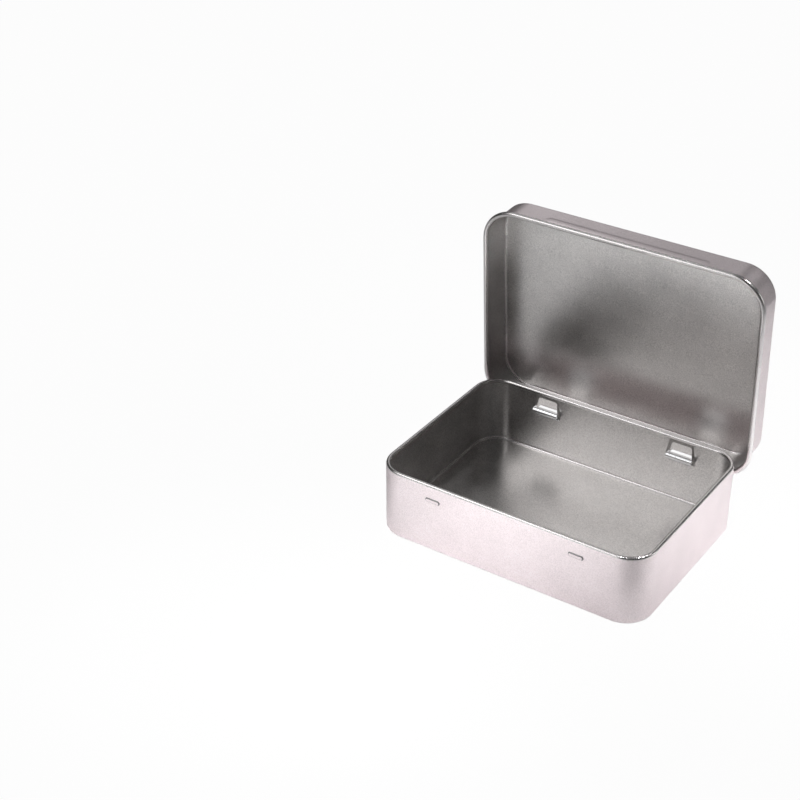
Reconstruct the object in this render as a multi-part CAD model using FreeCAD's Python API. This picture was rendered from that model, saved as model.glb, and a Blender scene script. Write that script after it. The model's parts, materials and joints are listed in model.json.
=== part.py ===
"""Hinged rectangular tin: a drawn sheet-metal body and a drawn lid, standing open.

Frame, in millimetres: the origin is the centre of the body's underside, +X runs along the
long side, -Y is the front (the latch side), +Y is the hinge side and +Z is up.
The lid is modelled closed over the body and is then turned open about the hinge line.
"""
import FreeCAD
import Part
import math
import os

# overall sizes
body_length = 110.0
body_width = 81.0
body_height = 28.5
corner_radius = 10.9
sheet = 0.25
floor_radius = 1.3
rim_curl_radius = 0.9

# lid sizes, and how it sits over the closed body
lid_side_gap = 0.85
lid_front_gap = 0.95
lid_back_gap = 0.5
lid_depth = 14.0
lid_edge_radius = 1.0
bead_radius = 1.0
lid_top_gap = 1.45
open_angle = 86.7

# hinge: the body's strap is looped round a pin in the lid's rear bead
hinge_spacing = 58.2
hinge_shift = 1.25
strap_width = 10.7
pin_radius = 0.55
pin_clearance = 0.1
pin_rise = 0.4
roll_radius = 1.38
roll_inset = 1.45
slot_side_gap = 0.4
slot_height = 4.75

# hinge panel: the pressed frame in the rear wall that the strap comes back through
panel_top = 26.6
panel_top_width = 9.6
panel_depth = 1.0
panel_side = 0.65
window_top = 25.7
window_corner = 1.2
mouth_level_gap = 0.1

# latch: two bumps on the body's front and the long raised bead on the lid's front
bump_spacing = 59.0
bump_length = 6.0
bump_height = 1.7
bump_proud = 0.35
bump_level = 22.1
bump_edge_share = 0.8
latch_bead_length = 67.0
latch_bead_height = 4.2
latch_bead_proud = 0.5
latch_bead_level = 5.6

# sizes that follow from the ones above
wall_y = body_width / 2
inner_y = wall_y - sheet
lid_length = body_length + 2 * (lid_side_gap + sheet)
lid_width = body_width + lid_front_gap + lid_back_gap + 2 * sheet
lid_corner_radius = corner_radius + lid_side_gap + sheet
lid_inner_y = wall_y + lid_back_gap
lid_front_y = -(wall_y + lid_front_gap + sheet)
lid_middle_y = lid_front_y + lid_width / 2
lid_top = body_height + lid_top_gap + sheet
lid_rim = lid_top - lid_depth
bead_centre_y = lid_inner_y + bead_radius
bead_centre_z = lid_rim + bead_radius
pivot_y = bead_centre_y
pivot_z = bead_centre_z + pin_rise
strap_middle = pin_radius + pin_clearance + sheet / 2
roll_middle = roll_radius - sheet / 2
roll_y = inner_y - roll_inset
roll_z = pivot_z + strap_middle + roll_middle
strap_low = pivot_z - strap_middle
mouth_level = strap_low - sheet / 2 - mouth_level_gap
slot_width = strap_width + 2 * slot_side_gap
hinge_centres = [hinge_shift - hinge_spacing / 2, hinge_shift + hinge_spacing / 2]
bump_centres = [-bump_spacing / 2, bump_spacing / 2]

V = FreeCAD.Vector
OUT = 10.0  # how far a cutting block runs past what it cuts
CURL_SWEEP = 300.0  # degrees that a rim's curl turns through
ROLL_SWEEP = 290.0  # degrees that the strap's end roll turns through


def arc_point(centre, radius, degrees):
    """A point of a circle, given as (across, up)."""
    turn = math.radians(degrees)
    return (centre[0] + radius * math.cos(turn), centre[1] + radius * math.sin(turn))


def line(start, end, place):
    """A straight edge between two flat points, put in space by place."""
    return Part.makeLine(place(start), place(end))


def arc(centre, radius, start, end, place):
    """A circular edge from one angle to another, put in space by place."""
    angles = [start, (start + end) / 2, end]
    points = [place(arc_point(centre, radius, a)) for a in angles]
    return Part.Arc(points[0], points[1], points[2]).toShape()


def sheet_section(edges):
    """The cut face of a bent sheet whose middle line is the given chain of edges."""
    outline = Part.Wire(edges).makeOffset2D(sheet / 2, 0, False, False, False)
    return Part.Face(outline)


def ring_sweep(edges_at, length, width, radius):
    """Carry a section round a rounded rectangle: four straight runs and four turned corners.

    edges_at(place) gives the section's middle line for a placing of its (inward, up) points.
    Every run and corner is made from one section, then turned and moved to its own corner.
    """
    run_x = length / 2 - radius
    run_y = width / 2 - radius

    def across(point):
        return V(radius - point[0], 0, point[1])

    section = sheet_section(edges_at(across))
    corners = [
        (run_x, run_y, 0, 2 * run_y),
        (-run_x, run_y, 90, 2 * run_x),
        (-run_x, -run_y, 180, 2 * run_y),
        (run_x, -run_y, 270, 2 * run_x),
    ]
    pieces = []
    for centre_x, centre_y, heading, run in corners:
        for piece in (section.revolve(V(0, 0, 0), V(0, 0, 1), 90), section.extrude(V(0, -run, 0))):
            piece.rotate(V(0, 0, 0), V(0, 0, 1), heading)
            piece.translate(V(centre_x, centre_y, 0))
            pieces.append(piece)
    return pieces


def rounded_plate(length, width, radius, low, thickness):
    """A flat plate with rounded corners, centred on the Z axis."""
    plate = Part.makeBox(length, width, thickness, V(-length / 2, -width / 2, low))
    upright = [e for e in plate.Edges if abs(e.Vertexes[0].Z - e.Vertexes[1].Z) > thickness / 2]
    return plate.makeFillet(radius, upright)


def body_middle_line(place):
    """The body's wall from the floor fillet up into the curl that turns inward."""
    half = sheet / 2
    bend = (floor_radius, floor_radius)
    curl = (rim_curl_radius, body_height - rim_curl_radius)
    return [
        line((floor_radius + sheet, half), (floor_radius, half), place),
        arc(bend, floor_radius - half, 270, 180, place),
        line((half, floor_radius), (half, curl[1]), place),
        arc(curl, rim_curl_radius - half, 180, 180 - CURL_SWEEP, place),
    ]


def body_shell():
    """The drawn body: floor, walls and curled rim."""
    pieces = ring_sweep(body_middle_line, body_length, body_width, corner_radius)
    inset = 2 * floor_radius
    floor = rounded_plate(
        body_length - inset, body_width - inset, corner_radius - floor_radius, 0, sheet
    )
    return floor.fuse(pieces)


def lid_middle_line(place):
    """The lid's skirt from the top's edge down into the bead that turns outward."""
    half = sheet / 2
    bend = (lid_edge_radius, lid_top - lid_edge_radius)
    bead = (sheet - bead_radius, bead_centre_z)
    return [
        line((lid_edge_radius + sheet, lid_top - half), (lid_edge_radius, lid_top - half), place),
        arc(bend, lid_edge_radius - half, 90, 180, place),
        line((half, bend[1]), (half, bead_centre_z), place),
        arc(bead, bead_radius - half, 0, -CURL_SWEEP, place),
    ]


def lid_shell():
    """The drawn lid in its closed place: top, skirt and outward bead."""
    pieces = ring_sweep(lid_middle_line, lid_length, lid_width, lid_corner_radius)
    inset = 2 * lid_edge_radius
    top = rounded_plate(
        lid_length - inset,
        lid_width - inset,
        lid_corner_radius - lid_edge_radius,
        lid_top - sheet,
        sheet,
    )
    lid = top.fuse(pieces)
    lid.translate(V(0, lid_middle_y, 0))
    return lid


def trapezium(centre_x, low, low_width, high, high_width, start_y, end_y):
    """A block whose front outline is a trapezium, running from one Y to another."""
    points = [
        V(centre_x - low_width / 2, start_y, low),
        V(centre_x + low_width / 2, start_y, low),
        V(centre_x + high_width / 2, start_y, high),
        V(centre_x - high_width / 2, start_y, high),
    ]
    return Part.Face(Part.makePolygon(points + points[:1])).extrude(V(0, end_y - start_y, 0))


def wedge(centre_x, front_top, front_low, low):
    """A block between the wall's outer face and a plane that leans inward as it goes down."""
    half = strap_width
    points = [
        V(centre_x - half, wall_y, panel_top),
        V(centre_x - half, front_top, panel_top),
        V(centre_x - half, front_low, low),
        V(centre_x - half, wall_y, low),
    ]
    return Part.Face(Part.makePolygon(points + points[:1])).extrude(V(2 * half, 0, 0))


def panel_opening(centre_x, low):
    """The hole left in the wall behind the panel, down to the given level."""
    return trapezium(
        centre_x,
        low,
        strap_width - 2 * sheet,
        panel_top - sheet,
        panel_top_width - 2 * sheet,
        inner_y - 2 * panel_depth,
        wall_y + sheet,
    )


def panel_window(centre_x):
    """The window through the panel, with round upper corners, open at the bottom."""
    low_width = strap_width - 2 * panel_side
    high_width = panel_top_width - 2 * panel_side
    front = inner_y - OUT
    hole = trapezium(centre_x, roll_z, low_width, window_top, high_width, front, wall_y + sheet)
    corners = []
    for edge in hole.Edges:
        ends = [v.Point for v in edge.Vertexes]
        if abs(ends[0].y - ends[1].y) > OUT / 2 and ends[0].z > window_top - sheet:
            corners.append(edge)
    return hole.makeFillet(window_corner, corners)


def hinge_panel(centre_x):
    """The pressed frame in the rear wall, leaning inward towards its lower end."""
    low = roll_z
    solid = wedge(centre_x, inner_y, inner_y - panel_depth, low)
    outline = trapezium(
        centre_x, low, strap_width, panel_top, panel_top_width, inner_y - 2 * panel_depth, wall_y
    )
    hollow = wedge(centre_x, inner_y + sheet, inner_y - panel_depth + sheet, low)
    hollow = hollow.common(panel_opening(centre_x, low))
    return solid.common(outline).cut(hollow)


def hinge_strap(centre_x):
    """The strap: out under the pin, round it, back in over it and rolled up inside."""
    start = centre_x - strap_width / 2

    def place(point):
        return V(start, point[0], point[1])

    pin = (pivot_y, pivot_z)
    roll = (roll_y, roll_z)
    wall_middle = wall_y - sheet / 2
    edges = [
        line((wall_middle, strap_low), (pivot_y, strap_low), place),
        arc(pin, strap_middle, -90, 90, place),
        line((pivot_y, pivot_z + strap_middle), (roll_y, pivot_z + strap_middle), place),
        arc(roll, roll_middle, 270, 270 - ROLL_SWEEP, place),
    ]
    return sheet_section(edges).extrude(V(strap_width, 0, 0))


def strap_root(centre_x):
    """The piece of wall that the strap is bent out of, under the panel's mouth."""
    low = mouth_level - sheet
    return Part.makeBox(
        strap_width,
        sheet,
        strap_low + sheet / 2 - low,
        V(centre_x - strap_width / 2, inner_y, low),
    )


def stadium(centre_x, centre_z, length, height, face_y, depth):
    """A flat-ended block with round ends, standing on a wall and reaching towards -Y."""
    radius = height / 2
    run = length - height
    block = Part.makeBox(run, depth, height, V(centre_x - run / 2, face_y - depth, centre_z - radius))
    for end in (-run / 2, run / 2):
        block = block.fuse(
            Part.makeCylinder(radius, depth, V(centre_x + end, face_y - depth, centre_z), V(0, 1, 0))
        )
    return block.removeSplitter()


def latch_bump(centre_x):
    """One latch bump on the front wall, and the hollow pressed behind it."""
    face = -wall_y
    back = face + sheet / 2
    outer = stadium(centre_x, bump_level, bump_length, bump_height, back, bump_proud + sheet / 2)
    rim = [e for e in outer.Edges if e.BoundBox.YMax < face - bump_proud / 2]
    outer = outer.makeFillet(bump_proud * bump_edge_share, rim)
    inner = stadium(
        centre_x,
        bump_level,
        bump_length - 2 * sheet,
        bump_height - 2 * sheet,
        face + 2 * sheet,
        bump_proud + sheet,
    )
    return outer, inner


def lens(length, height, rise, face_y, centre_z):
    """A long low ridge with a round-backed section and round ends, reaching towards -Y."""
    half = height / 2
    run = length / 2 - half
    crest = V(-run, face_y - rise, centre_z)
    low = V(-run, face_y, centre_z - half)
    high = V(-run, face_y, centre_z + half)
    back = Part.Arc(low, crest, high).toShape()
    section = Part.Face(Part.Wire([back, Part.makeLine(high, low)]))
    ridge = section.extrude(V(2 * run, 0, 0))
    foot = V(-run, face_y, centre_z)
    quarter = (back.LastParameter - back.FirstParameter) / 4
    half_back = Part.Arc(crest, back.valueAt(back.LastParameter - quarter), high).toShape()
    half_face = Part.Face(Part.Wire([half_back, Part.makeLine(high, foot), Part.makeLine(foot, crest)]))
    cap = half_face.revolve(foot, V(0, 1, 0), 360)
    other = cap.copy()
    other.translate(V(2 * run, 0, 0))
    return ridge.fuse([cap, other]).removeSplitter()


def latch_bead():
    """The long raised bead on the lid's front skirt, and the channel behind it."""
    level = lid_rim + latch_bead_level
    face = lid_front_y
    outer = lens(latch_bead_length, latch_bead_height, latch_bead_proud, face, level)
    inner = lens(
        latch_bead_length - 2 * sheet,
        latch_bead_height - 2 * sheet,
        latch_bead_proud,
        face + sheet,
        level,
    )
    return outer, inner


def make_body():
    """The body: drawn shell, hinge panels with their straps, and latch bumps."""
    body = body_shell()
    for centre_x in hinge_centres:
        body = body.cut(panel_opening(centre_x, mouth_level))
        body = body.fuse(hinge_panel(centre_x))
        body = body.cut(panel_window(centre_x))
        body = body.fuse(hinge_strap(centre_x))
        body = body.fuse(strap_root(centre_x))
    for centre_x in bump_centres:
        outer, inner = latch_bump(centre_x)
        body = body.fuse(outer).cut(inner)
    return body.removeSplitter()


def hinge_slot(centre_x):
    """The block cut out of the lid's skirt and bead to let the strap in."""
    return Part.makeBox(
        slot_width,
        4 * bead_radius,
        slot_height + sheet,
        V(centre_x - slot_width / 2, lid_inner_y - bead_radius, lid_rim - sheet),
    )


def hinge_pin(centre_x):
    """The pin across a slot, with a disc at each end that closes the cut bead."""
    reach = slot_width + 2 * sheet
    start = V(centre_x - reach / 2, pivot_y, pivot_z)
    pin = Part.makeCylinder(pin_radius, reach, start, V(1, 0, 0))
    for side in (-1, 1):
        end_x = centre_x + side * (slot_width / 2 + sheet)
        low = V(end_x - sheet, bead_centre_y, bead_centre_z)
        pin = pin.fuse(Part.makeCylinder(bead_radius, 2 * sheet, low, V(1, 0, 0)))
    return pin


def make_lid():
    """The lid, turned open about the hinge line."""
    lid = lid_shell()
    outer, inner = latch_bead()
    lid = lid.fuse(outer).cut(inner)
    for centre_x in hinge_centres:
        lid = lid.cut(hinge_slot(centre_x)).fuse(hinge_pin(centre_x))
    lid = lid.removeSplitter()
    lid.rotate(V(0, pivot_y, pivot_z), V(1, 0, 0), -open_angle)
    return lid


os.makedirs("parts", exist_ok=True)
nodes = {"body": make_body(), "lid": make_lid()}
for name, shape in nodes.items():
    if len(shape.Solids) == 1:
        shape = shape.Solids[0]
    print(name, "solids", len(shape.Solids), "valid", shape.isValid(), "volume", round(shape.Volume, 1))
    shape.exportStep("parts/" + name + ".step")
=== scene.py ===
"""Looks of the hinged tin: satin sheet metal, drawn body and lid, standing open.

Lengths are in metres. +X is the long side, -Y the front with the latch bumps, +Y the hinge
side and +Z up. The lid's surfaces are worked out closed and then turned open about the hinge.
"""

import json
import math

import bpy
import numpy as np
from mathutils import Matrix, Vector


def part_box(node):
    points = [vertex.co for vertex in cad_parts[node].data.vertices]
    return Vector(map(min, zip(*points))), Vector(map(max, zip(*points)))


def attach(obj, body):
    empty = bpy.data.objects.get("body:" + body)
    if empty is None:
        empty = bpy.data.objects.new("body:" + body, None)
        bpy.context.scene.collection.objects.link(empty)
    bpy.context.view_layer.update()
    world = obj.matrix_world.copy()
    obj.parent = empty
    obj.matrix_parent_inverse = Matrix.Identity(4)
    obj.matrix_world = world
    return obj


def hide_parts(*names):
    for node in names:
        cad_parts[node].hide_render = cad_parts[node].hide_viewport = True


bl_info = {
    "name": "Hinged Tin",
    "version": (1, 0, 0),
    "blender": (4, 5, 0),
    "location": "View3D > Sidebar > Tin",
    "description": "Builds a satin sheet-metal tin with a hinged lid, and a plain studio for it",
    "category": "Add Mesh",
}

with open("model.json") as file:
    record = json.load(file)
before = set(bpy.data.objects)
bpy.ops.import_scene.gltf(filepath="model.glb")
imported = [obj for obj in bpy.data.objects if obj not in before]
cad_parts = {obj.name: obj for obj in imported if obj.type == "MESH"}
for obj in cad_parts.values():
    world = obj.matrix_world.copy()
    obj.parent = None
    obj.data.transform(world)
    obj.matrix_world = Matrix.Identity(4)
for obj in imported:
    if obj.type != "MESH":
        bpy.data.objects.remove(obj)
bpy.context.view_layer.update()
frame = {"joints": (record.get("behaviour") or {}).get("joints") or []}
HINGE = frame["joints"][0]
BODY_LOW, BODY_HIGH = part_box("body")

MM = 0.001
CURL_SWEEP = 300.0  # degrees that a rim's curl turns through
ROLL_SWEEP = 290.0  # degrees that the strap's end roll turns through
SHARP_ANGLE = 50.0  # degrees past which an edge is shaded sharp
FACING = 0.999  # how nearly along Y a normal points on the straight front and rear walls
FLAT_BORDER = 1.2 * MM  # flat metal kept beside a bend before the rings begin
RING_SHARES = np.array([0.02, 0.2, 0.4, 0.6, 0.75, 0.88, 0.96])
OUTSIDE, INSIDE, CUT_EDGE, ROLLED, PAINTED_SHADE = 0, 1, 2, 3, 4  # the mesh's material slots; the last one holds the painted shade


# ---------------------------------------------------------------- sizes and finishes


def length_setting(name, description, millimetres):
    """A length property, given in millimetres and kept in metres."""
    return bpy.props.FloatProperty(
        name=name,
        description=description,
        default=millimetres * MM,
        min=0.0,
        precision=5,
        subtype="DISTANCE",
        unit="LENGTH",
    )


def colour_setting(name, description, colour):
    """A colour property in linear values."""
    return bpy.props.FloatVectorProperty(
        name=name,
        description=description,
        default=colour,
        min=0.0,
        max=1.0,
        size=3,
        subtype="COLOR",
    )


def share_setting(name, description, value):
    """A plain property from 0 to 1."""
    return bpy.props.FloatProperty(
        name=name, description=description, default=value, min=0.0, max=1.0, subtype="FACTOR"
    )


class TinBodySizes(bpy.types.PropertyGroup):
    """Sizes of the drawn body."""

    length: length_setting("Length", "Long side, outside", (BODY_HIGH.x - BODY_LOW.x) / MM)
    width: length_setting("Width", "Short side, outside", 81.0)
    height: length_setting("Height", "Underside to the top of the rim", BODY_HIGH.z / MM)
    corner: length_setting("Corner radius", "Outside radius of the upright corners", 10.9)
    sheet: length_setting("Sheet", "Thickness of the metal", 0.25)
    floor_radius: length_setting("Floor radius", "Outside radius where wall meets floor", 1.3)
    curl_radius: length_setting("Curl radius", "Outside radius of the rolled rim", 0.9)
    bump_spacing: length_setting("Bump spacing", "Between the two latch bumps", 59.0)
    bump_length: length_setting("Bump length", "Length of one latch bump", 6.0)
    bump_height: length_setting("Bump height", "Height of one latch bump", 1.7)
    bump_proud: length_setting("Bump depth", "How far a bump stands out", 0.35)
    bump_edge: share_setting("Bump edge", "Share of half its height over which it rises", 0.4)
    bump_level: length_setting("Bump level", "Height of the bumps' middle", 22.1)


class TinLidSizes(bpy.types.PropertyGroup):
    """Sizes of the drawn lid, and how it sits over the closed body."""

    side_gap: length_setting("Side gap", "Body wall to skirt at each short side", 0.85)
    front_gap: length_setting("Front gap", "Body wall to skirt at the front", 0.95)
    back_gap: length_setting("Back gap", "Body wall to skirt at the hinge", 0.5)
    top_gap: length_setting("Top gap", "Body rim to the inside of the top", 1.45)
    depth: length_setting("Depth", "Top to rim, outside", 14.0)
    edge_radius: length_setting("Edge radius", "Outside radius where top meets skirt", 1.0)
    bead_radius: length_setting("Bead radius", "Outside radius of the rolled rim", 1.0)
    latch_length: length_setting("Latch bead length", "Raised bead on the front skirt", 67.0)
    latch_height: length_setting("Latch bead height", "Height of the raised bead", 4.2)
    latch_proud: length_setting("Latch bead depth", "How far the bead stands out", 0.15)
    latch_level: length_setting("Latch bead level", "Rim to the bead's middle", 5.6)


class TinHingeSizes(bpy.types.PropertyGroup):
    """Sizes of the two hinges."""

    spacing: length_setting("Spacing", "Between the middles of the two hinges", 58.2)
    shift: length_setting("Shift", "Middle of the pair, towards +X", 1.25)
    strap_width: length_setting("Strap width", "Width of the body's strap", 10.7)
    pin_radius: length_setting("Pin radius", "Radius of the pin in the lid's bead", 0.55)
    pin_clearance: length_setting("Pin clearance", "Pin to strap", 0.1)
    roll_radius: length_setting("Roll radius", "Outside radius of the strap's rolled end", 1.38)
    roll_inset: length_setting("Roll inset", "Wall to the middle of the roll", 1.45)
    slot_gap: length_setting("Slot gap", "Strap to each side of the lid's slot", 0.4)
    slot_height: length_setting("Slot height", "Lid rim to the far edge of the slot", 4.0)
    panel_top: length_setting("Panel top", "Height of the pressed panel's top", 26.6)
    panel_top_width: length_setting("Panel top width", "Width of the panel at its top", 9.6)
    panel_low_width: length_setting("Panel low width", "Width of the panel at the roll", 11.7)
    panel_shift: length_setting("Panel shift", "Panel's middle before the strap's", 0.35)
    panel_depth: length_setting("Panel depth", "How far the panel leans inward", 1.0)
    window_side: length_setting("Window side", "Width of the panel beside the window", 0.65)
    window_top: length_setting("Window top", "Height of the window's top", 25.0)
    window_corner: length_setting("Window corner", "Radius of the window's upper corners", 1.2)
    mouth_gap: length_setting("Mouth gap", "Between the strap and the mouth under it", 0.1)


class TinFinish(bpy.types.PropertyGroup):
    """Colour and finish of the metal."""

    outside: colour_setting("Outside", "Satin tinplate outside", (0.93, 0.84, 0.86))
    inside: colour_setting("Inside", "Satin tinplate inside", (0.78, 0.76, 0.75))
    edge: colour_setting("Cut edge", "Bare sheared edge and hinge strap", (0.86, 0.86, 0.87))
    outside_rough: share_setting("Outside roughness", "Roughness of the outside", 0.38)
    inside_rough: share_setting("Inside roughness", "Roughness of the inside", 0.31)
    edge_rough: share_setting("Edge roughness", "Roughness of cut edges and straps", 0.14)
    rolled: colour_setting("Rolled rim", "Burnished rims and floor radii", (0.86, 0.83, 0.83))
    rolled_rough: share_setting("Rim roughness", "Roughness of the rolled rims", 0.25)
    # The crease colour is painted shade: a dark metal colour on the band round each latch bump and on
    # the body's cut edges, where shade falls.
    painted_shade: colour_setting("Crease", "Dull metal in the pressed creases", (0.30, 0.28, 0.29))


class TinStudio(bpy.types.PropertyGroup):
    """Camera and lighting."""

    turn: bpy.props.FloatProperty(
        name="Camera turn",
        description="Angle of the camera round the tin, from the front towards +X",
        default=math.radians(34.208),
        subtype="ANGLE",
        unit="ROTATION",
    )
    tilt: bpy.props.FloatProperty(
        name="Camera tilt",
        description="Angle of the camera above the floor",
        default=math.radians(31.306),
        subtype="ANGLE",
        unit="ROTATION",
    )
    roll: bpy.props.FloatProperty(
        name="Camera roll",
        description="Turn of the camera about its own line of sight",
        default=math.radians(-0.092),
        subtype="ANGLE",
        unit="ROTATION",
    )
    distance: length_setting("Camera distance", "Along the line of sight to the tin", 638.644)
    aside: length_setting("Camera aside", "How far the tin lies right of the view's middle", 58.942)
    above: length_setting("Camera above", "How far the tin lies below the view's middle", 46.724)
    lens: bpy.props.FloatProperty(
        name="Lens",
        description="Focal length in millimetres on a 36 mm sensor",
        default=76.225,
        min=1.0,
    )
    floor_colour: colour_setting("Floor", "Pale floor", (0.92, 0.92, 0.92))
    floor_seen: share_setting("Floor seen", "White share of the floor as seen", 0.97)
    floor_mirrored: share_setting("Floor mirrored", "White share of the floor in metal", 0.05)
    air: share_setting("Air", "Brightness of the air round the stage", 0.05)


# ---------------------------------------------------------------- lines and grids


def straight(start, end, count):
    """Points evenly spaced from start to end, with the normal on their left-hand side."""
    share = np.linspace(0.0, 1.0, count)[:, None]
    start, end = np.array(start, float), np.array(end, float)
    run = (end - start) / np.linalg.norm(end - start)
    normal = np.array([run[1], -run[0]])
    return start + share * (end - start), np.tile(normal, (count, 1))


def bend(centre, radius, start, end, count, side=1.0):
    """Points of a circle, centre + radius (cos a, sin a), a from start to end in degrees.

    The normal is side times the direction out from the centre.
    """
    angle = np.radians(np.linspace(start, end, count))
    out = np.stack([np.cos(angle), np.sin(angle)], axis=1)
    return np.array(centre, float) + radius * out, side * out


def join(*parts):
    """One line from several that meet end to end, leaving out each doubled point."""
    points = [parts[0][0]] + [p[0][1:] for p in parts[1:]]
    normals = [parts[0][1]] + [p[1][1:] for p in parts[1:]]
    return np.concatenate(points), np.concatenate(normals)


def faced(points, normal):
    """Points that all share one normal."""
    return points, np.tile(normal, (len(points), 1))


def grid_lines(low, high, step, dense=()):
    """Positions from low to high about one step apart, closer inside each (low, high, step)."""
    marks = {low, high}
    for near, far, _ in dense:
        marks.update(m for m in (near, far) if low < m < high)
    marks = sorted(marks)
    lines = [marks[0]]
    for near, far in zip(marks[:-1], marks[1:]):
        middle = (near + far) / 2
        fine = min([step] + [s for a, b, s in dense if a <= middle <= b])
        count = max(1, int(math.ceil((far - near) / fine)))
        lines.extend(np.linspace(near, far, count + 1)[1:])
    return np.array(lines)


def smooth_step(value):
    """3v^2 - 2v^3 of a value held between 0 and 1: a soft start and a soft end."""
    v = np.clip(value, 0.0, 1.0)
    return v * v * (3.0 - 2.0 * v)


def rounded_path(half_x, half_y, radius, front_lines, rear_lines, side_lines, corner_steps=22):
    """A closed line round a rounded rectangle, anticlockwise from above, with outward normals.

    Four straight runs at the given positions, joined by quarter circles about
    (half_x - radius, half_y - radius).
    """
    run_x, run_y = half_x - radius, half_y - radius
    turn = np.radians(np.linspace(0.0, 90.0, corner_steps + 2)[1:-1])

    def corner(sign_x, sign_y, start):
        angle = turn + math.radians(start)
        out = np.stack([np.cos(angle), np.sin(angle)], axis=1)
        return np.array([sign_x * run_x, sign_y * run_y]) + radius * out, out

    def run(xs, ys, normal):
        xs, ys = np.broadcast_arrays(xs, ys)
        return np.stack([xs, ys], axis=1).astype(float), np.tile(normal, (len(xs), 1))

    parts = [
        run(front_lines, -half_y, (0.0, -1.0)),
        corner(1, -1, 270.0),
        run(half_x, side_lines, (1.0, 0.0)),
        corner(1, 1, 0.0),
        run(rear_lines[::-1], half_y, (0.0, 1.0)),
        corner(-1, 1, 90.0),
        run(-half_x, side_lines[::-1], (-1.0, 0.0)),
        corner(-1, -1, 180.0),
    ]
    return np.concatenate([p[0] for p in parts]), np.concatenate([p[1] for p in parts])


def carry(path, path_normals, line, line_normals):
    """A line carried round a path: point = path - outward * inward distance, at the line's height."""
    inward, up = line[:, 0], line[:, 1]
    flat = path[:, None, :] - path_normals[:, None, :] * inward[None, :, None]
    points = np.dstack([flat, np.broadcast_to(up, flat.shape[:2])])
    across = -path_normals[:, None, :] * line_normals[None, :, 0, None]
    normals = np.dstack([across, np.broadcast_to(line_normals[:, 1], across.shape[:2])])
    return points, normals


def widened(values, columns, value):
    """The same values with more columns of one value put before them."""
    return np.concatenate([np.full((len(values), columns), value), values], axis=1)


def shrunk_rings(ring, centre, shares):
    """Rings from a centre point out to a ring: centre + share * (ring - centre)."""
    middle = centre[None, None, :]
    return middle + shares[None, :, None] * (ring[:, None, :] - middle)


def cell_middles(path, line):
    """The middle of each cell: x along the path, and height along the line."""
    return (path[:, 0] + np.roll(path[:, 0], -1)) / 2, (line[:-1, 1] + line[1:, 1]) / 2


def with_middle(outer, inner, kept, outer_slots, inner_slots):
    """The same surfaces with their flat middle put before them, drawn in by shrunken rings."""
    whole = []
    for surface in (outer, inner):
        centre = np.array([0.0, 0.0, surface[0, 0, 2]])
        rings = shrunk_rings(surface[:, 0], centre, RING_SHARES)
        whole.append(np.concatenate([rings, surface], axis=1))
    count = len(RING_SHARES)
    slots = widened(outer_slots, count, OUTSIDE), widened(inner_slots, count, INSIDE)
    return whole[0], whole[1], widened(kept, count, True), slots


# ---------------------------------------------------------------- meshes


def closed_sheet(name, outer, inner, kept, materials, slots, closed_path=True, flip=False):
    """A sheet between two matching grids, closed along its free edges.

    Each kept cell gives an outer face, an inner face turned the other way, and a narrow face
    along each side where its neighbour is missing. On a closed path, a fan about a middle point
    closes the first column. slots gives each outer and each inner face its metal.
    """
    rows, columns = outer.shape[:2]
    number = np.arange(rows * columns).reshape(rows, columns)
    inner_number = number + rows * columns
    after = np.roll(number, -1, axis=0)
    inner_after = np.roll(inner_number, -1, axis=0)
    if not closed_path:
        number, inner_number = number[:-1], inner_number[:-1]
        after, inner_after = after[:-1], inner_after[:-1]

    def quads(a, b):
        return np.stack([a[:, :-1], b[:, :-1], b[:, 1:], a[:, 1:]], axis=-1)

    outer_faces = quads(number, after)
    inner_faces = quads(inner_number, inner_after)[..., ::-1]
    faces = [outer_faces[kept], inner_faces[kept]]
    face_slots = [slots[0][kept], slots[1][kept]]
    a, b, c, d = [outer_faces[..., k] for k in range(4)]
    ai, bi, ci, di = [corner + rows * columns for corner in (a, b, c, d)]
    missing_before = ~np.roll(kept, 1, axis=0)
    missing_after = ~np.roll(kept, -1, axis=0)
    if not closed_path:
        missing_before[0] = True
        missing_after[-1] = True
    missing_below = np.ones_like(kept)
    missing_below[:, 1:] = ~kept[:, :-1]
    if closed_path:
        missing_below[:, 0] = False
    missing_above = np.ones_like(kept)
    missing_above[:, :-1] = ~kept[:, 1:]
    rims = [
        (missing_before, (a, d, di, ai)),
        (missing_after, (b, bi, ci, c)),
        (missing_below, (a, ai, bi, b)),
        (missing_above, (d, c, ci, di)),
    ]
    for missing, corners in rims:
        at = kept & missing
        faces.append(np.stack([k[at] for k in corners], axis=-1))
        face_slots.append(np.full(at.sum(), CUT_EDGE))
    points = [outer.reshape(-1, 3), inner.reshape(-1, 3)]
    quads_all = np.concatenate(faces)
    slots_all = np.concatenate(face_slots)
    triangles = np.zeros((0, 3), int)
    if closed_path:
        centre = 2 * rows * columns
        points += [outer[:, 0].mean(axis=0)[None], inner[:, 0].mean(axis=0)[None]]
        first, second = number[:, 0], after[:, 0]
        inner_first, inner_second = inner_number[:, 0], inner_after[:, 0]
        count = len(first)
        outer_fan = np.stack([np.full(count, centre), second, first], axis=1)
        inner_fan = np.stack([np.full(count, centre + 1), inner_first, inner_second], axis=1)
        triangles = np.concatenate([outer_fan, inner_fan])
        slots_all = np.concatenate([slots_all, np.full(count, OUTSIDE), np.full(count, INSIDE)])
    if flip:
        quads_all = quads_all[:, ::-1]
        triangles = triangles[:, ::-1]
    return build_mesh(name, np.concatenate(points), quads_all, triangles, slots_all, materials)


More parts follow.
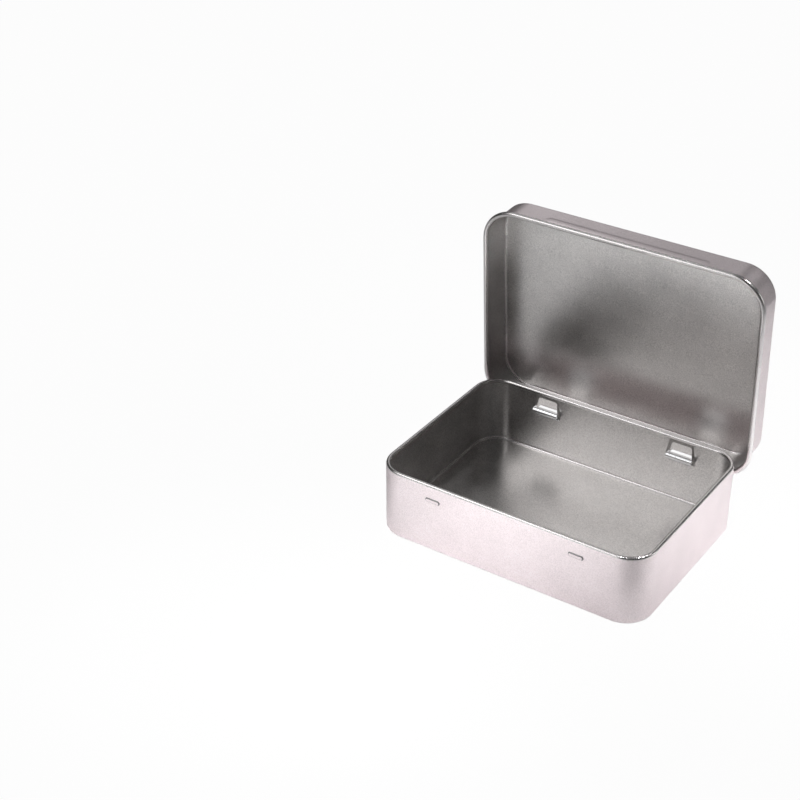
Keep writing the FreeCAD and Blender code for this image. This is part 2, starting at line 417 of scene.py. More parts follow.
def build_mesh(name, points, quads, triangles, slots, materials):
    """Put whole arrays of points and faces into a new mesh object, dropping unused points."""
    used = np.unique(np.concatenate([quads.ravel(), triangles.ravel()]))
    renumber = np.zeros(len(points), int)
    renumber[used] = np.arange(len(used))
    quads, triangles = renumber[quads], renumber[triangles]
    mesh = bpy.data.meshes.new(name)
    mesh.vertices.add(len(used))
    mesh.vertices.foreach_set("co", points[used].astype(np.float32).ravel())
    corners = np.concatenate([quads.ravel(), triangles.ravel()])
    totals = np.concatenate([np.full(len(quads), 4), np.full(len(triangles), 3)])
    mesh.loops.add(len(corners))
    mesh.loops.foreach_set("vertex_index", corners)
    mesh.polygons.add(len(totals))
    mesh.polygons.foreach_set("loop_start", np.concatenate([[0], np.cumsum(totals)[:-1]]))
    mesh.polygons.foreach_set("loop_total", totals)
    mesh.update(calc_edges=True)
    mesh.validate()
    for material in materials:
        mesh.materials.append(material)
    mesh.polygons.foreach_set("material_index", slots.astype(np.int32))
    mesh.polygons.foreach_set("use_smooth", np.ones(len(totals), bool))
    mesh.set_sharp_from_angle(angle=math.radians(SHARP_ANGLE))
    piece = bpy.data.objects.new(name, mesh)
    bpy.context.scene.collection.objects.link(piece)
    return piece


def turned(profile, centres, axis_y, axis_z, steps=32):
    """A solid turned about a line along X: (x, y, z) = (along, r cos a, r sin a).

    profile gives (along, r) pairs from one end to the other. One copy stands at each centre.
    """
    angle = np.linspace(0.0, 2.0 * math.pi, steps, endpoint=False)
    along, radius = profile[:, 0], profile[:, 1]
    ring = np.stack(
        [
            np.broadcast_to(along[None, :], (steps, len(along))),
            axis_y + np.outer(np.cos(angle), radius),
            axis_z + np.outer(np.sin(angle), radius),
        ],
        axis=-1,
    )
    number = np.arange(steps * len(along)).reshape(steps, len(along))
    after = np.roll(number, -1, axis=0)
    quads = np.stack([number[:, :-1], number[:, 1:], after[:, 1:], after[:, :-1]], axis=-1)
    quads = quads.reshape(-1, 4)
    points, faces = [], []
    for k, centre in enumerate(centres):
        points.append(ring.reshape(-1, 3) + np.array([centre, 0.0, 0.0]))
        faces.append(quads + k * ring.shape[0] * ring.shape[1])
    return np.concatenate(points), np.concatenate(faces)


def turn_open(points, angle):
    """Turn points about the hinge line by the angle, so that the closed lid stands open."""
    centre = np.array(HINGE["pos_m"])
    away = points - centre
    c, s = math.cos(angle), math.sin(angle)
    result = away.copy()
    result[..., 1] = c * away[..., 1] + s * away[..., 2]
    result[..., 2] = -s * away[..., 1] + c * away[..., 2]
    return result + centre


# ---------------------------------------------------------------- measures that several pieces share


class Layout:
    """Places worked out from the sizes, named as in the tin itself."""

    def __init__(self, scene):
        body, lid, hinge = scene.tin_body, scene.tin_lid, scene.tin_hinge
        sheet = body.sheet
        self.half = sheet / 2
        self.wall_y = body.width / 2
        self.inner_y = self.wall_y - sheet
        self.lid_length = body.length + 2 * (lid.side_gap + sheet)
        self.lid_width = body.width + lid.front_gap + lid.back_gap + 2 * sheet
        self.lid_corner = body.corner + lid.side_gap + sheet
        self.lid_top = body.height + lid.top_gap + sheet
        self.lid_rim = self.lid_top - lid.depth
        self.lid_middle_y = self.lid_width / 2 - (self.wall_y + lid.front_gap + sheet)
        self.bead_y = self.wall_y + lid.back_gap + lid.bead_radius
        self.bead_z = self.lid_rim + lid.bead_radius
        self.pivot_y, self.pivot_z = HINGE["pos_m"][1], HINGE["pos_m"][2]
        self.strap_middle = hinge.pin_radius + hinge.pin_clearance + self.half
        self.strap_low = self.pivot_z - self.strap_middle
        self.roll_middle = hinge.roll_radius - self.half
        self.roll_y = self.inner_y - hinge.roll_inset
        self.roll_z = self.pivot_z + self.strap_middle + self.roll_middle
        self.mouth_z = self.strap_low - self.half - hinge.mouth_gap
        self.hinge_centres = [hinge.shift - hinge.spacing / 2, hinge.shift + hinge.spacing / 2]
        self.bump_centres = [-body.bump_spacing / 2, body.bump_spacing / 2]
        self.slot_width = hinge.strap_width + 2 * hinge.slot_gap
        self.open_angle = math.radians(HINGE["range_deg"][1])


# ---------------------------------------------------------------- materials


FINE_GRAIN, CLOUDING = (2600.0, 2.0), (70.0, 3.0)  # scale and detail of the two noises
NOISE_LOW, NOISE_HIGH = 0.3, 0.7  # where most of a noise's values lie
CLOUD_ROUGHNESS = 0.03  # how far the clouding moves the roughness each way


def link(tree, source, output, target, socket):
    """Join one node's output to another's input."""
    tree.links.new(source.outputs[output], target.inputs[socket])


def grain(tree, coordinates, scale, detail):
    """Fine noise on the piece's own coordinates."""
    noise = tree.nodes.new("ShaderNodeTexNoise")
    noise.inputs["Scale"].default_value = scale
    noise.inputs["Detail"].default_value = detail
    noise.inputs["Roughness"].default_value = 0.6
    link(tree, coordinates, "Object", noise, "Vector")
    return noise


def ranged(tree, noise, middle, spread):
    """A noise mapped to middle - spread at its low end and middle + spread at its high end."""
    node = tree.nodes.new("ShaderNodeMapRange")
    node.inputs["From Min"].default_value = NOISE_LOW
    node.inputs["From Max"].default_value = NOISE_HIGH
    node.inputs["To Min"].default_value = middle - spread
    node.inputs["To Max"].default_value = middle + spread
    link(tree, noise, "Fac", node, "Value")
    return node


def satin_metal(name, colour, rough, grain_depth, mottle):
    """Frosted tinplate: a fine even grain in height, roughness and tone, with faint clouding."""
    material = bpy.data.materials.new(name)
    material.use_nodes = True
    tree = material.node_tree
    shader = tree.nodes["Principled BSDF"]
    shader.inputs["Metallic"].default_value = 1.0
    coordinates = tree.nodes.new("ShaderNodeTexCoord")
    fine = grain(tree, coordinates, *FINE_GRAIN)
    cloud = grain(tree, coordinates, *CLOUDING)
    tone = ranged(tree, fine, 1.0, mottle)
    patch = ranged(tree, cloud, 1.0, mottle / 3)
    both = tree.nodes.new("ShaderNodeMath")
    both.operation = "MULTIPLY"
    link(tree, tone, "Result", both, 0)
    link(tree, patch, "Result", both, 1)
    paint = tree.nodes.new("ShaderNodeMix")
    paint.data_type = "RGBA"
    paint.blend_type = "MULTIPLY"
    paint.inputs["Factor"].default_value = 1.0
    paint.inputs["A"].default_value = (*colour, 1.0)
    link(tree, both, "Value", paint, "B")
    link(tree, paint, "Result", shader, "Base Color")
    roughness = ranged(tree, cloud, rough, CLOUD_ROUGHNESS)
    link(tree, roughness, "Result", shader, "Roughness")
    bump = tree.nodes.new("ShaderNodeBump")
    bump.inputs["Strength"].default_value = 1.0
    bump.inputs["Distance"].default_value = grain_depth
    link(tree, fine, "Fac", bump, "Height")
    link(tree, bump, "Normal", shader, "Normal")
    return material


def named_material(name, *settings):
    """The metal of this name, made the first time that it is asked for."""
    return bpy.data.materials.get(name) or satin_metal(name, *settings)


def tin_metals(finish):
    """The five metals, in the order of the mesh's slots."""
    return [
        named_material("satin_outside", finish.outside, finish.outside_rough, 3e-6, 0.12),
        named_material("satin_inside", finish.inside, finish.inside_rough, 3e-6, 0.22),
        named_material("bright_edge", finish.edge, finish.edge_rough, 1e-6, 0.02),
        named_material("rolled_rim", finish.rolled, finish.rolled_rough, 1e-6, 0.04),
        # Painted shade: a dark metal for the band round each latch bump and for the body's cut edges,
        # standing in for the shade that falls there.
        named_material("pressed_crease", finish.painted_shade, finish.outside_rough, 1e-6, 0.04),
    ]


# ---------------------------------------------------------------- body


BODY_STEP = 4.0 * MM  # between grid lines on the body's plain walls
PANEL_REACH = 6.6 * MM  # from a panel's middle to where its close grid ends
PANEL_SIDES = (4.0 * MM, 6.1 * MM)  # from a panel's middle, where its leaning sides lie
PANEL_EDGE = 0.45 * MM  # width over which the panel's side rises from the wall
WARP_END, WARP_FADE = 1.3, 0.3  # where the bent grid lines are straight again, and over how much
PAINTED_SHADE_REACH = 0.12  # how far the painted shade band runs outside a bump's outline, as a share of its radius


def window_shape(hinge, layout):
    """Half the window's width at its top, how fast it widens downward, and half its mouth."""
    top_half = hinge.panel_top_width / 2 - hinge.window_side
    low_half = hinge.strap_width / 2 - hinge.window_side
    slope = (low_half - top_half) / (hinge.window_top - layout.roll_z)
    return top_half, slope, top_half + slope * (hinge.window_top - layout.mouth_z)


def hinge_warp(x, z, centre, hinge, layout):
    """Bend the straight grid lines of the rear wall round the window's outline.

    The cells of a rectangle centre +- window half-width become the window: its sides lean by
    the window's slope and its upper corners follow a quarter circle. Outside the rectangle
    the shift fades to nothing.
    """
    top, low = hinge.window_top, layout.mouth_z
    half_high = (top - low) / 2
    middle = (top + low) / 2
    top_half, slope, base_half = window_shape(hinge, layout)
    u = (x - centre) / base_half
    v = (z - middle) / half_high
    size = np.maximum(np.maximum(np.abs(u), np.abs(v)), 1e-9)
    edge_u, edge_v = u / size, v / size
    edge_z = edge_v * half_high
    half_at = top_half + slope * (half_high - edge_z)
    edge_x = edge_u * half_at
    radius = hinge.window_corner
    from_side = half_at - np.abs(edge_x)
    from_top = half_high - edge_z
    along = np.where(from_top <= from_side, -from_side, from_top) / radius
    near = (from_side < radius) & (from_top < radius)
    angle = math.pi / 4 * (1.0 - np.clip(along, -1.0, 1.0))
    corner_x = top_half + slope * radius - radius + radius * np.cos(angle)
    corner_z = half_high - radius + radius * np.sin(angle)
    edge_x = np.where(near, np.sign(edge_x) * corner_x, edge_x)
    edge_z = np.where(near, corner_z, edge_z)
    fade = np.clip((WARP_END - size) / WARP_FADE, 0.0, 1.0)
    fade = np.where(size < 1.0, 1.0, fade)
    shift_x = edge_x - edge_u * base_half
    shift_z = edge_z - edge_v * half_high
    return x + fade * shift_x, z + fade * shift_z


def panel_press(x, z, centre, hinge, layout):
    """How far the hinge panel leans in from the wall: growing downward, with soft sides."""
    drop = (hinge.panel_top - z) / (hinge.panel_top - layout.roll_z)
    widen = (hinge.panel_low_width - hinge.panel_top_width) / 2
    half = hinge.panel_top_width / 2 + widen * np.clip(drop, 0.0, 1.3)
    side = smooth_step((half - np.abs(x - centre + hinge.panel_shift)) / PANEL_EDGE)
    lean = np.clip(drop, 0.0, 1.0)
    back = smooth_step((z - layout.mouth_z) / (layout.roll_z - layout.mouth_z))
    return hinge.panel_depth * side * lean * back


def bump_inside(x, z, centre, body):
    """How far inside a bump's outline a point lies: 1 on its middle line and 0 on its edge."""
    radius = body.bump_height / 2
    run = body.bump_length / 2 - radius
    along = np.maximum(np.abs(x - centre) - run, 0.0)
    return 1.0 - np.hypot(along, z - body.bump_level) / radius


def bump_press(x, z, centre, body):
    """A latch bump: a flat-topped ridge with round ends, rising over a narrow edge."""
    return body.bump_proud * smooth_step(bump_inside(x, z, centre, body) / body.bump_edge)


def body_grid(scene):
    """Outer and inner surfaces of the body, with the cells that are metal.

    The wall's line runs from the floor up into the rim's curl and is carried round the
    rounded rectangle; the floor is drawn in by shrunken rings. The windows are cut out of
    the rear wall, and the panels and bumps are pressed into it.
    """
    body, hinge, layout = scene.tin_body, scene.tin_hinge, Layout(scene)
    half, rise = layout.half, body.height - body.curl_radius
    run_x = body.length / 2 - body.corner
    run_y = body.width / 2 - body.corner
    base_half = window_shape(hinge, layout)[2]
    near_side, far_side = PANEL_SIDES
    panels = []
    for centre in layout.hinge_centres:
        panels += [
            (centre - PANEL_REACH, centre + PANEL_REACH, 0.5 * MM),
            (centre - far_side, centre - near_side, 0.15 * MM),
            (centre + near_side, centre + far_side, 0.15 * MM),
            (centre - base_half, centre + base_half, 0.5 * MM),
        ]
    bumps = []
    for centre in layout.bump_centres:
        reach = body.bump_length / 2 + 0.1 * MM
        bumps += [
            (centre - reach, centre + reach, 0.6 * MM),
            (centre - reach, centre - reach + 1.1 * MM, 0.11 * MM),
            (centre + reach - 1.1 * MM, centre + reach, 0.11 * MM),
        ]
    front_lines = grid_lines(-run_x, run_x, BODY_STEP, bumps)
    rear_lines = grid_lines(-run_x, run_x, BODY_STEP, panels)
    side_lines = grid_lines(-run_y, run_y, BODY_STEP)
    path, path_normals = rounded_path(
        body.length / 2, body.width / 2, body.corner, front_lines, rear_lines, side_lines
    )
    bump_reach = body.bump_height / 2 + 0.05 * MM
    heights = grid_lines(
        body.floor_radius,
        rise,
        2.0 * MM,
        [
            (layout.mouth_z, hinge.window_top, 0.4 * MM),
            (hinge.window_top, rise, 0.3 * MM),
            (layout.mouth_z - 1.5 * MM, layout.mouth_z, 0.5 * MM),
            (body.bump_level - bump_reach, body.bump_level + bump_reach, 0.13 * MM),
            (body.floor_radius, body.floor_radius + 0.6 * MM, 0.2 * MM),
        ],
    )
    wall = faced(np.stack([np.full(len(heights), half), heights], axis=1), (-1.0, 0.0))
    floor_bend = bend(
        (body.floor_radius, body.floor_radius), body.floor_radius - half, 270.0, 180.0, 10
    )
    flat = straight((body.floor_radius + FLAT_BORDER, half), (body.floor_radius, half), 4)
    flat = faced(flat[0], (0.0, -1.0))
    curl = bend(
        (body.curl_radius, rise), body.curl_radius - half, 180.0, 180.0 - CURL_SWEEP, 30
    )
    line, line_normals = join(flat, floor_bend, wall, curl)
    points, normals = carry(path, path_normals, line, line_normals)
    first = len(flat[0]) + len(floor_bend[0]) - 2
    rows = slice(first, first + len(heights))
    rear, front = path_normals[:, 1] > FACING, path_normals[:, 1] < -FACING
    keep = np.ones((len(path), len(line) - 1), bool)
    keep_x, keep_z = cell_middles(path, line)
    in_wall = np.zeros(len(line) - 1, bool)
    in_wall[first : first + len(heights) - 1] = True
    x, z = points[:, rows, 0], points[:, rows, 2]
    inward = np.zeros_like(x)
    for centre in layout.hinge_centres:
        cell = (
            (rear & np.roll(rear, -1))[:, None]
            & (np.abs(keep_x - centre) < base_half)[:, None]
            & (in_wall & (keep_z > layout.mouth_z) & (keep_z < hinge.window_top))[None, :]
        )
        keep &= ~cell
        new_x, new_z = hinge_warp(x, z, centre, hinge, layout)
        x = np.where(rear[:, None], new_x, x)
        z = np.where(rear[:, None], new_z, z)
        inward += np.where(rear[:, None], panel_press(x, z, centre, hinge, layout), 0.0)
    outer_slots = np.full(keep.shape, OUTSIDE)
    inner_slots = np.full(keep.shape, INSIDE)
    outer_slots[:, first + len(heights) - 1 :] = ROLLED
    inner_slots[:, len(flat[0]) - 1 : first] = ROLLED
    for centre in layout.bump_centres:
        inward += np.where(front[:, None], bump_press(x, z, centre, body), 0.0)
        # A band round each bump's outline takes the dark crease colour: painted shade along the
        # bump's rising edge.
        share = bump_inside(keep_x[:, None], keep_z[None, :], centre, body)
        shade_band = (share > -PAINTED_SHADE_REACH) & (share < body.bump_edge)
        on_front = (front & np.roll(front, -1))[:, None]
        outer_slots[shade_band & on_front & in_wall[None, :]] = PAINTED_SHADE
    points[:, rows, 0], points[:, rows, 2] = x, z
    points[:, rows, 1] -= inward
    outer, inner = points + half * normals, points - half * normals
    return with_middle(outer, inner, keep, outer_slots, inner_slots)


class TIN_OT_body(bpy.types.Operator):
    """Build the drawn body, with its rolled rim, pressed hinge panels and latch bumps"""

    bl_idname = "tin.body"
    bl_label = "Body shell"

    def execute(self, context):
        metals = tin_metals(context.scene.tin_finish)
        metals[CUT_EDGE] = metals[PAINTED_SHADE]  # the body's few cut edges, round the windows too, take the dark colour: painted shade, unlike its bright straps
        outer, inner, kept, slots = body_grid(context.scene)
        shell = closed_sheet("body_shell", outer, inner, kept, metals, slots)
        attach(shell, "tin_body")
        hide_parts("body")
        return {"FINISHED"}


def strap_line(scene):
    """The strap's middle line in (y, z): out under the pin, round it, back in and rolled up."""
    layout = Layout(scene)
    radius = layout.strap_middle
    pin = (layout.pivot_y, layout.pivot_z)
    roll = (layout.roll_y, layout.roll_z)
    wall_middle = layout.wall_y - layout.half
    high = layout.pivot_z + radius
    return join(
        straight((wall_middle, layout.strap_low), (layout.pivot_y, layout.strap_low), 5),
        bend(pin, radius, -90.0, 90.0, 20),
        straight((layout.pivot_y, high), (layout.roll_y, high), 8),
        bend(roll, layout.roll_middle, 270.0, 270.0 - ROLL_SWEEP, 44),
    )


class TIN_OT_straps(bpy.types.Operator):
    """Build the two sheet straps that loop round the pins and roll up inside the body"""

    bl_idname = "tin.straps"
    bl_label = "Hinge straps"

    def execute(self, context):
        scene = context.scene
        hinge, layout = scene.tin_hinge, Layout(scene)
        line, normals = strap_line(scene)
        metals = tin_metals(scene.tin_finish)
        across = np.linspace(-hinge.strap_width / 2, hinge.strap_width / 2, 10)
        cells = (len(across) - 1, len(line) - 1)
        for side, centre in zip(("left", "right"), layout.hinge_centres):
            middle = np.zeros((len(across), len(line), 3))
            middle[..., 0] = (across + centre)[:, None]
            middle[..., 1:] = line
            away = np.zeros_like(middle)
            away[..., 1:] = normals
            strap = closed_sheet(
                "hinge_strap_" + side,
                middle + layout.half * away,
                middle - layout.half * away,
                np.ones(cells, bool),
                metals,
                [np.full(cells, CUT_EDGE)] * 2,
                closed_path=False,
            )
            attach(strap, "tin_body")
        return {"FINISHED"}


# ---------------------------------------------------------------- lid


LID_STEP = 3.0 * MM  # between grid lines on the lid's plain walls
LATCH_EDGE = 0.8  # share of half its height over which the latch bead rises


def latch_press(x, z, lid, layout):
    """The long bead on the front skirt: a round-backed ridge with round ends."""
    radius = lid.latch_height / 2
    run = lid.latch_length / 2 - radius
    along = np.maximum(np.abs(x) - run, 0.0)
    off = np.hypot(along, z - (layout.lid_rim + lid.latch_level)) / radius
    return lid.latch_proud * smooth_step((1.0 - off) / LATCH_EDGE)


def lid_grid(scene):
    """Outer and inner surfaces of the closed lid, with the cells that are metal.

    The skirt's line runs from the top down into the bead and is carried round the rounded
    rectangle; the top is drawn in by shrunken rings. Slots for the straps are cut out of the
    rear skirt and bead, and the latch bead is pressed out of the front.
    """
    lid, layout = scene.tin_lid, Layout(scene)
    half = layout.half
    half_x, half_y = layout.lid_length / 2, layout.lid_width / 2
    corner = layout.lid_corner
    run_x, run_y = half_x - corner, half_y - corner
    slot_half = layout.slot_width / 2
    slots = [(centre - slot_half, centre + slot_half, 2.0 * MM) for centre in layout.hinge_centres]
    latch_end = lid.latch_length / 2
    front_lines = grid_lines(
        -run_x,
        run_x,
        LID_STEP,
        [
            (-latch_end - 0.2 * MM, -latch_end + 3.0 * MM, 0.3 * MM),
            (latch_end - 3.0 * MM, latch_end + 0.2 * MM, 0.3 * MM),
        ],
    )
    rear_lines = grid_lines(-run_x, run_x, LID_STEP, slots)
    side_lines = grid_lines(-run_y, run_y, LID_STEP)
    path, path_normals = rounded_path(half_x, half_y, corner, front_lines, rear_lines, side_lines)
    slot_top = layout.lid_rim + scene.tin_hinge.slot_height
    latch_low = layout.lid_rim + lid.latch_level - lid.latch_height / 2
    heights = grid_lines(
        layout.bead_z,
        layout.lid_top - lid.edge_radius,
        1.0 * MM,
        [
            (layout.bead_z, slot_top, 0.6 * MM),
            (latch_low, latch_low + lid.latch_height, 0.3 * MM),
            (layout.lid_top - lid.edge_radius - 0.6 * MM, layout.lid_top, 0.2 * MM),
        ],
    )[::-1]
    skirt = faced(np.stack([np.full(len(heights), half), heights], axis=1), (-1.0, 0.0))
    level = layout.lid_top - half
    flat = straight((lid.edge_radius + FLAT_BORDER, level), (lid.edge_radius, level), 4)
    flat = faced(flat[0], (0.0, 1.0))
    edge = bend(
        (lid.edge_radius, layout.lid_top - lid.edge_radius), lid.edge_radius - half, 90.0, 180.0, 10
    )
    bead = bend(
        (2 * half - lid.bead_radius, layout.bead_z),
        lid.bead_radius - half,
        0.0,
        -CURL_SWEEP,
        30,
        side=-1.0,
    )
    line, line_normals = join(flat, edge, skirt, bead)
    points, normals = carry(path, path_normals, line, line_normals)
    first = len(flat[0]) + len(edge[0]) - 2
    rows = slice(first, first + len(heights))
    rear, front = path_normals[:, 1] > FACING, path_normals[:, 1] < -FACING
    keep = np.ones((len(path), len(line) - 1), bool)
    keep_x, keep_z = cell_middles(path, line)
    low_part = keep_z < slot_top
    low_part[:first] = False
    for centre in layout.hinge_centres:
        near = np.abs(keep_x - centre) < slot_half
        keep &= ~((rear & np.roll(rear, -1) & near)[:, None] & low_part[None, :])
    x, z = points[:, rows, 0], points[:, rows, 2]
    points[:, rows, 1] -= np.where(front[:, None], latch_press(x, z, lid, layout), 0.0)
    outer, inner = points + half * normals, points - half * normals
    outer_slots = np.full(keep.shape, OUTSIDE)
    inner_slots = np.full(keep.shape, INSIDE)
    outer_slots[:, first + len(heights) - 1 :] = ROLLED
    inner_slots[:, first + len(heights) - 1 :] = ROLLED
    inner_slots[:, len(flat[0]) - 1 : first] = ROLLED
    outer, inner, kept, face_slots = with_middle(outer, inner, keep, outer_slots, inner_slots)
    outer[..., 1] += layout.lid_middle_y
    inner[..., 1] += layout.lid_middle_y
    return outer, inner, kept, face_slots


class TIN_OT_lid(bpy.types.Operator):
    """Build the drawn lid, with its rolled bead, strap slots and latch bead, standing open"""

    bl_idname = "tin.lid"
    bl_label = "Lid shell"

    def execute(self, context):
        layout = Layout(context.scene)
        outer, inner, kept, slots = lid_grid(context.scene)
        shell = closed_sheet(
            "lid_shell",
            turn_open(outer, layout.open_angle),
            turn_open(inner, layout.open_angle),
            kept,
            tin_metals(context.scene.tin_finish),
            slots,
            flip=True,
        )
        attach(shell, "tin_lid")
        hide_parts("lid")
        return {"FINISHED"}


class TIN_OT_pins(bpy.types.Operator):
    """Build the pins that cross the lid's slots, with the discs that close the cut bead"""

    bl_idname = "tin.pins"
    bl_label = "Hinge pins"

    def execute(self, context):
        scene = context.scene
        lid, hinge, layout = scene.tin_lid, scene.tin_hinge, Layout(scene)
        sheet = scene.tin_body.sheet
        pin_end = layout.slot_width / 2
        radius = hinge.pin_radius
        pin = np.array([(-pin_end, 0.0), (-pin_end, radius), (pin_end, radius), (pin_end, 0.0)])
        disc_radius = lid.bead_radius
        disc = np.array([(-sheet, 0.0), (-sheet, disc_radius), (sheet, disc_radius), (sheet, 0.0)])
        disc_centres = [c + s * (pin_end + sheet) for c in layout.hinge_centres for s in (-1, 1)]
        pins = turned(pin, layout.hinge_centres, layout.pivot_y, layout.pivot_z)
        discs = turned(disc, disc_centres, layout.bead_y, layout.bead_z)
        points = np.concatenate([pins[0], discs[0]])
        faces = np.concatenate([pins[1], discs[1] + len(pins[0])])
        piece = build_mesh(
            "hinge_pins",
            turn_open(points, layout.open_angle),
            faces,
            np.zeros((0, 3), int),
            np.zeros(len(faces), int),
            [tin_metals(scene.tin_finish)[CUT_EDGE]],
        )
        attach(piece, "tin_lid")
        return {"FINISHED"}


# ---------------------------------------------------------------- studio


POOL_LAMP_OUT, POOL_LAMP_HEIGHT = 0.1, 0.45  # past the lit patch, and above the floor
POOL_LAMP_SIZE = 0.03
POOL_WATTS = 8.7  # power that lights the floor there to a brightness of 1
FLOOR_REACH = 6.0

# name, turn, tilt, distance, size and glow
SOFT_BOXES = [
    ("key_light", -45.0, 48.0, 0.9, 0.4, 1.75),
    ("low_front_light", -18.0, 25.0, 0.9, 0.4, 1.5),
    ("high_left_light", -75.0, 70.0, 0.9, 0.4, 0.3),
    ("low_right_light", 120.0, 18.0, 0.9, 0.4, 1.2),
    ("rear_light", 212.0, 45.0, 0.9, 0.55, 0.4),
]
# name, turn, radius, spread and glow
FLOOR_POOLS = [
    ("front_left_pool", -25.0, 0.130, 27.0, 0.75),
    ("front_pool", 2.0, 0.095, 22.0, 0.57),
    ("right_pool", 100.0, 0.105, 24.0, 0.5),
    ("rear_pool", 130.0, 0.16, 42.0, 0.6),
    ("rear_left_pool", 210.0, 0.14, 40.0, 0.2),
]


def scaled(tree, source, output, factor):
    """A value times a constant."""
    node = tree.nodes.new("ShaderNodeMath")
    node.operation = "MULTIPLY"
    node.inputs[1].default_value = factor
    link(tree, source, output, node, 0)
    return node


def combined(tree, operation, first, second):
    """Two values joined by an operation."""
    node = tree.nodes.new("ShaderNodeMath")
    node.operation = operation
    link(tree, first[0], first[1], node, 0)
    link(tree, second[0], second[1], node, 1)
    return node


def floor_material(colour, seen_share, mirrored_share):
    """Pale matt floor, mixed with plain white by the share given for each kind of ray.

    Camera and transmission rays take seen_share and glossy rays take mirrored_share.
    """
    material = bpy.data.materials.new("pale_floor")
    material.use_nodes = True
    tree = material.node_tree
    tree.nodes.clear()
    output = tree.nodes.new("ShaderNodeOutputMaterial")
    matt = tree.nodes.new("ShaderNodeBsdfDiffuse")
    matt.inputs["Color"].default_value = (*colour, 1.0)
    plain = tree.nodes.new("ShaderNodeEmission")
    plain.inputs["Color"].default_value = (1.0, 1.0, 1.0, 1.0)
    plain.inputs["Strength"].default_value = 1.0
    path = tree.nodes.new("ShaderNodeLightPath")
    straight_on = combined(tree, "MAXIMUM", (path, "Is Camera Ray"), (path, "Is Transmission Ray"))
    seen = scaled(tree, straight_on, "Value", seen_share)
    mirrored = scaled(tree, path, "Is Glossy Ray", mirrored_share)
    share = combined(tree, "MAXIMUM", (seen, "Value"), (mirrored, "Value"))
    mix = tree.nodes.new("ShaderNodeMixShader")
    link(tree, share, "Value", mix, "Fac")
    link(tree, matt, "BSDF", mix, 1)
    link(tree, plain, "Emission", mix, 2)
    link(tree, mix, "Shader", output, "Surface")
    return material


def around(turn, tilt, distance):
    """A place at this turn from the front towards +X and tilt above the floor, in degrees."""
    turn, tilt = math.radians(turn), math.radians(tilt)
    level = distance * math.cos(tilt)
    return Vector((level * math.sin(turn), -level * math.cos(turn), distance * math.sin(tilt)))


def aimed(name, lamp, place, target):
    """Put a lamp at place, turned towards target."""
    holder = bpy.data.objects.new(name, lamp)
    bpy.context.scene.collection.objects.link(holder)
    holder.rotation_euler = (target - place).to_track_quat("-Z", "Y").to_euler()
    holder.location = place
    return holder


def soft_box(name, turn, tilt, distance, size, glow):
    """A square soft lamp facing the tin; glow is its brightness, 1 being white."""
    lamp = bpy.data.lights.new(name, "AREA")
    lamp.shape = "SQUARE"
    lamp.size = size
    lamp.energy = glow * math.pi * size * size
    return aimed(name, lamp, around(turn, tilt, distance), Vector((0.0, 0.0, 0.0)))


def floor_pool(name, turn, radius, spread, glow):
    """A spot lamp that lights the floor beside the tin; glow is the floor's brightness there."""
    lamp = bpy.data.lights.new(name, "SPOT")
    lamp.spot_size = math.radians(spread)
    lamp.spot_blend = 1.0
    lamp.shadow_soft_size = POOL_LAMP_SIZE
    lamp.energy = POOL_WATTS * glow
    target = around(turn, 0.0, radius)
    place = around(turn, 0.0, radius + POOL_LAMP_OUT) + Vector((0.0, 0.0, POOL_LAMP_HEIGHT))
    return aimed(name, lamp, place, target)


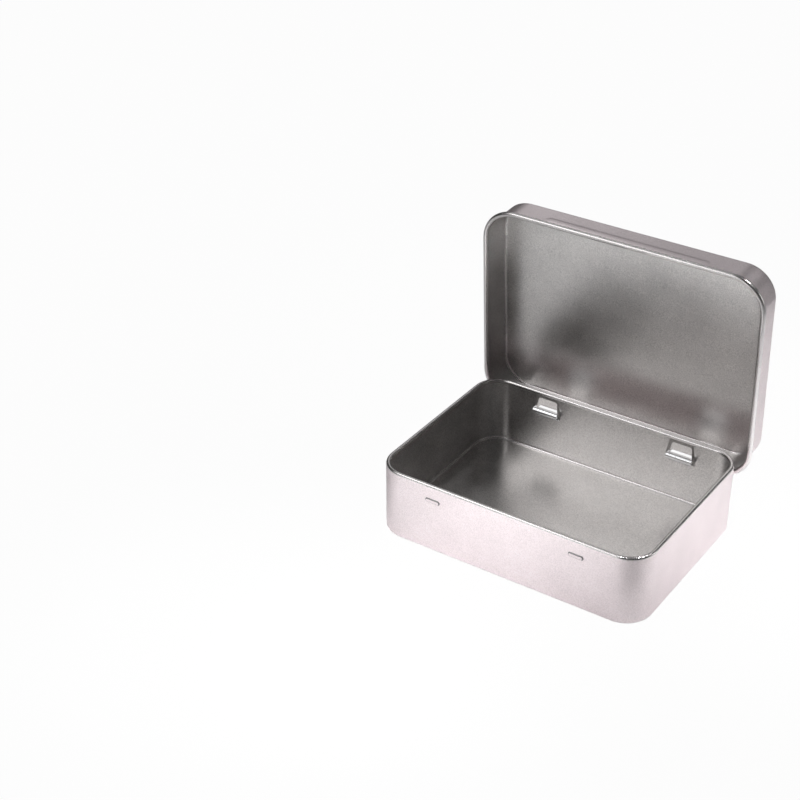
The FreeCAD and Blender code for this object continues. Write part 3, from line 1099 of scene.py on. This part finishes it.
class TIN_OT_stage(bpy.types.Operator):
    """Build the pale floor, the soft lamps and the camera"""

    bl_idname = "tin.stage"
    bl_label = "Stage"

    def execute(self, context):
        scene, studio = context.scene, context.scene.tin_studio
        corners = FLOOR_REACH * np.array(
            [(-1.0, -1.0, 0.0), (1.0, -1.0, 0.0), (1.0, 1.0, 0.0), (-1.0, 1.0, 0.0)]
        )
        floor = build_mesh(
            "floor",
            corners,
            np.array([[0, 1, 2, 3]]),
            np.zeros((0, 3), int),
            np.zeros(1, int),
            [floor_material(studio.floor_colour, studio.floor_seen, studio.floor_mirrored)],
        )
        for settings in SOFT_BOXES:
            soft_box(*settings)
        for settings in FLOOR_POOLS:
            floor_pool(*settings)
        world = bpy.data.worlds.new("studio_air")
        world.use_nodes = True
        air = world.node_tree.nodes["Background"]
        air.inputs["Color"].default_value = (1.0, 1.0, 1.0, 1.0)
        air.inputs["Strength"].default_value = studio.air
        scene.world = world
        lens = bpy.data.cameras.new("view")
        lens.lens = studio.lens
        lens.sensor_width = 36.0
        camera = bpy.data.objects.new("view", lens)
        scene.collection.objects.link(camera)
        turn = (
            Matrix.Rotation(studio.turn, 4, "Z")
            @ Matrix.Rotation(math.pi / 2 - studio.tilt, 4, "X")
            @ Matrix.Rotation(studio.roll, 4, "Z")
        )
        offset = turn @ Vector((-studio.aside, studio.above, studio.distance))
        camera.matrix_world = Matrix.Translation(offset) @ turn
        scene.camera = camera
        scene.view_settings.view_transform = "Standard"
        return {"FINISHED"}


class TIN_PT_panel(bpy.types.Panel):
    """The tin's sizes, finish and building steps"""

    bl_label = "Hinged tin"
    bl_idname = "TIN_PT_panel"
    bl_space_type = "VIEW_3D"
    bl_region_type = "UI"
    bl_category = "Tin"

    def draw(self, context):
        for heading, group in SETTINGS:
            box = self.layout.box()
            box.label(text=heading)
            settings = getattr(context.scene, group)
            for name in settings.__annotations__:
                box.prop(settings, name)
        for step in STEPS:
            self.layout.operator(step.bl_idname)


SETTINGS = [
    ("Body", "tin_body"),
    ("Lid", "tin_lid"),
    ("Hinges", "tin_hinge"),
    ("Finish", "tin_finish"),
    ("Studio", "tin_studio"),
]
GROUPS = [TinBodySizes, TinLidSizes, TinHingeSizes, TinFinish, TinStudio]
STEPS = [TIN_OT_body, TIN_OT_straps, TIN_OT_lid, TIN_OT_pins, TIN_OT_stage]


def register():
    """Register the settings, the building steps and the panel."""
    for kind in GROUPS + STEPS + [TIN_PT_panel]:
        bpy.utils.register_class(kind)
    for (_, name), kind in zip(SETTINGS, GROUPS):
        setattr(bpy.types.Scene, name, bpy.props.PointerProperty(type=kind))


def unregister():
    """Take back what register did, in the opposite order."""
    for _, name in SETTINGS:
        delattr(bpy.types.Scene, name)
    for kind in reversed(GROUPS + STEPS + [TIN_PT_panel]):
        bpy.utils.unregister_class(kind)


def main():
    """Build every piece and the stage."""
    register()
    bpy.ops.tin.body()
    bpy.ops.tin.straps()
    bpy.ops.tin.lid()
    bpy.ops.tin.pins()
    bpy.ops.tin.stage()


if __name__ == "__main__":
    main()
